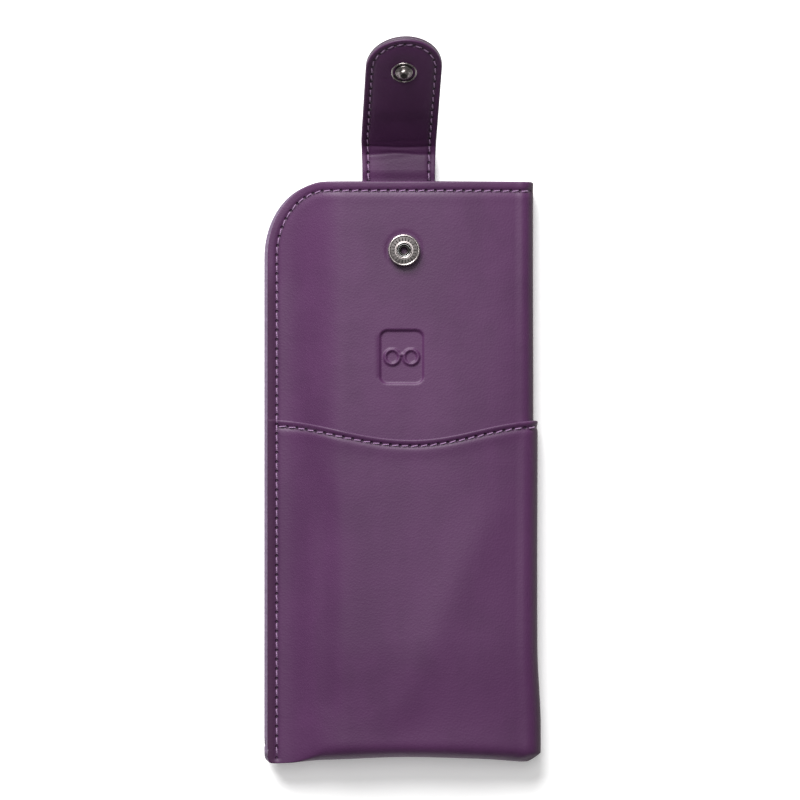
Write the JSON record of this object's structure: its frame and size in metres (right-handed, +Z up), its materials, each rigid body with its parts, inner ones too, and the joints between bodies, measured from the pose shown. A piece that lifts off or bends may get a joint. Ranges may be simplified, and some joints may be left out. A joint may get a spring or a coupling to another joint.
{
  "type": "soft glasses case",
  "caption": "Soft leather slip-in glasses case with a folded side, a stitched side seam, a scooped front slip pocket and a snap strap over the mouth.",
  "frame": {"origin": "on the back of the slip pocket, the face that the case lies on, midway across and along the case", "axes": "+X across the case from the stitched seam to the fold, +Y along it towards the mouth and the strap, +Z up out of its front"},
  "size_m": [0.0829, 0.2177, 0.0352],
  "materials": {
    "outer_leather": "smooth grained full-grain leather, soft sheen, purple",
    "strap_facing": "smooth leather facing of the strap, soft sheen, dark plum",
    "lining": "fine woven lining, matt",
    "foam": "thin foam interlining",
    "stiffener": "fibre board",
    "thread": "waxed polyester sewing thread, light lilac",
    "nickel": "antique nickel plate",
    "spring_steel": "drawn wire",
    "washer": "matt"
  },
  "bodies": {
    "case": {"shell_leather": "outer_leather", "shell_foam": "foam", "shell_lining": "lining", "pocket_wrap": "outer_leather", "side_seam_thread": "thread", "mouth_hem_thread": "thread", "pocket_hem_thread": "thread", "strap_anchor_thread": "thread", "strap_outer_root": "outer_leather", "snap_socket": "nickel", "snap_socket_spring": "spring_steel", "snap_socket_eyelet": "nickel", "snap_backing_washer": "washer"},
    "strap_bend_1": {"strap_outer_bend_1": "outer_leather", "strap_inner_bend_1": "strap_facing", "strap_thread_bend_1": "thread"},
    "strap_bend_2": {"strap_outer_bend_2": "outer_leather", "strap_inner_bend_2": "strap_facing", "strap_thread_bend_2": "thread"},
    "strap_bend_3": {"strap_outer_bend_3": "outer_leather", "strap_inner_bend_3": "strap_facing", "strap_thread_bend_3": "thread"},
    "strap_flap": {"strap_outer_flap": "outer_leather", "strap_inner_flap": "strap_facing", "strap_thread_flap": "thread", "strap_stiffener": "stiffener", "snap_stud": "nickel", "snap_cap": "nickel", "snap_cap_post": "nickel"}
  },
  "joints": [
    {"name": "strap_wrap", "type": "hinge", "parent": "case", "child": "strap_bend_1", "pos_m": [0, 0.0886, 0.0037], "axis": [1, 0, 0], "range_deg": [0, 45]},
    {"name": "strap_fold", "type": "hinge", "parent": "strap_bend_1", "child": "strap_bend_2", "pos_m": [0, 0.0949, 0.0037], "axis": [1, 0, 0], "range_deg": [-22.5, 22.5]},
    {"name": "strap_fold_upper", "type": "hinge", "parent": "strap_bend_2", "child": "strap_bend_3", "pos_m": [0, 0.10071, 0.00611], "axis": [1, 0, 0], "range_deg": [-22.5, 22.5]},
    {"name": "strap_wrap_upper", "type": "hinge", "parent": "strap_bend_3", "child": "strap_flap", "pos_m": [0, 0.10516, 0.01056], "axis": [1, 0, 0], "range_deg": [0, 45]}
  ],
  "couplings": [
    {"joint": "strap_wrap_upper", "follows": "strap_wrap", "ratio": 1},
    {"joint": "strap_fold_upper", "follows": "strap_fold", "ratio": 1}
  ]
}
